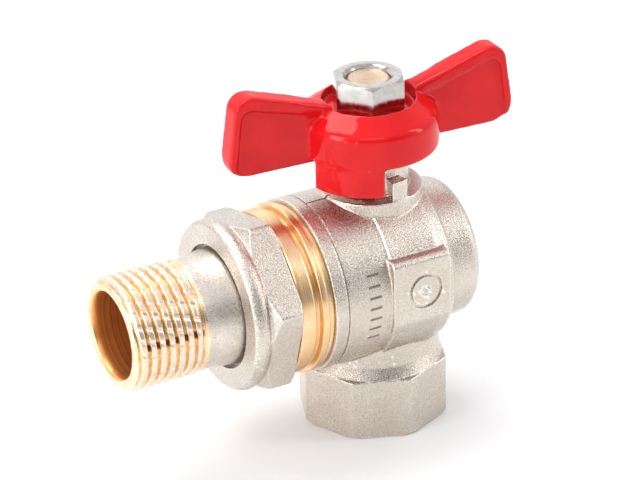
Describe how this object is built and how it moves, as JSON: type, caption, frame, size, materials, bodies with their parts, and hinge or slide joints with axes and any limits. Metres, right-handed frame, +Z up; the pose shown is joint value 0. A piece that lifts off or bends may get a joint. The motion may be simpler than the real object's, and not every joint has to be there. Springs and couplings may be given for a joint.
{
  "type": "angle ball valve",
  "caption": "Angle ball valve: octagonal female port below, union tailpiece with male thread at the side, ball inside, butterfly handle on a vertical stem.",
  "frame": {"origin": "centre of the lower female port's mouth, on the stem axis", "axes": "+Z up along the stem, +X along the pipe axis towards the body's closed end, so the union points along -X; -Y is the side with the flat pad"},
  "size_m": [0.0808, 0.0334, 0.068],
  "materials": {
    "nickel_cast": "nickel-plated brass forging, fine sand-blasted grain",
    "chrome": "polished chrome plate",
    "seat_plastic": "white PTFE",
    "turned_brass": "turned brass with fine tool rings",
    "thread_brass": "cut brass thread with a knurled crest, nickel-plated barrel",
    "seal_rubber": "black nitrile rubber",
    "red_paint": "glossy red powder coat",
    "plated_steel": "bright zinc-plated steel"
  },
  "bodies": {
    "valve_body": {"body": "nickel_cast", "end_connector": "turned_brass", "seat_front": "seat_plastic", "seat_rear": "seat_plastic", "stem_washer": "seat_plastic"},
    "turning": {"ball": "chrome", "stem": "turned_brass", "stem_o_ring_lower": "seal_rubber", "stem_o_ring_upper": "seal_rubber", "handle": "red_paint", "handle_nut": "plated_steel"},
    "tail": {"tailpiece": "thread_brass", "union_gasket": "seal_rubber"},
    "nut": {"union_nut": "nickel_cast"}
  },
  "joints": [
    {"name": "handle_turn", "type": "hinge", "parent": "valve_body", "child": "turning", "pos_m": [0, 0, 0.0293], "axis": [0, 0, 1], "range_deg": [-86.2, 3.8]},
    {"name": "tail_slide", "type": "slide", "parent": "valve_body", "child": "tail", "axis": [-1, 0, 0], "range_m": [0, 0.00363]},
    {"name": "nut_spin", "type": "hinge", "parent": "tail", "child": "nut", "pos_m": [-0.027, 0, 0.0293], "axis": [-1, 0, 0], "range_deg": [0, 720]}
  ],
  "couplings": [
    {"joint": "nut_spin", "follows": "tail_slide", "rad_per_m": 3463.2}
  ]
}
